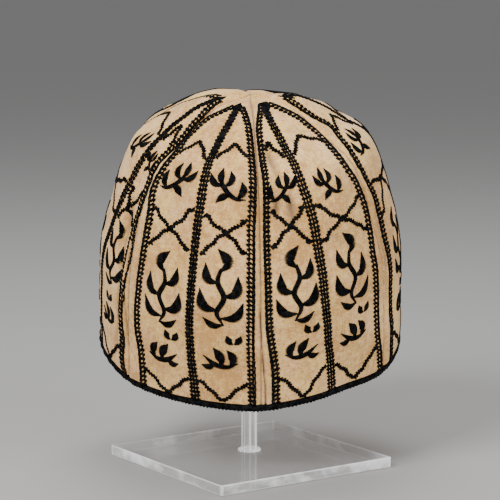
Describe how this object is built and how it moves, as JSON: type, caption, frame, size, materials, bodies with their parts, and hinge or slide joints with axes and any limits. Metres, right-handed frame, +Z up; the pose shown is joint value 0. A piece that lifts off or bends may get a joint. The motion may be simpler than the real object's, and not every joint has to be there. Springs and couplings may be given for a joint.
{
  "type": "dervish cap on display stand",
  "caption": "Tall round cloth cap of sewn gores with a black corded rim, held leaning forward on a plain clear stand with a square base and a round post.",
  "frame": {"origin": "middle of the underside of the stand's square base, on the post's axis", "axes": "+Z is up along the post, the front of the cap faces -Y, +X is to the right seen from the front"},
  "size_m": [0.1807, 0.1923, 0.2214],
  "materials": {
    "sand_cloth": "fulled wool cloth, matt, lightly mottled sand colour",
    "black_thread": "twisted black thread and cord, faint sheen",
    "clear_acrylic": "clear cast acrylic with polished edges"
  },
  "bodies": {
    "root": {"gore_1": "sand_cloth", "gore_2": "sand_cloth", "gore_3": "sand_cloth", "gore_4": "sand_cloth", "gore_5": "sand_cloth", "gore_6": "sand_cloth", "rim_cord": "black_thread", "stand_base": "clear_acrylic", "stand_collar": "clear_acrylic", "stand_post": "clear_acrylic"}
  },
  "joints": []
}
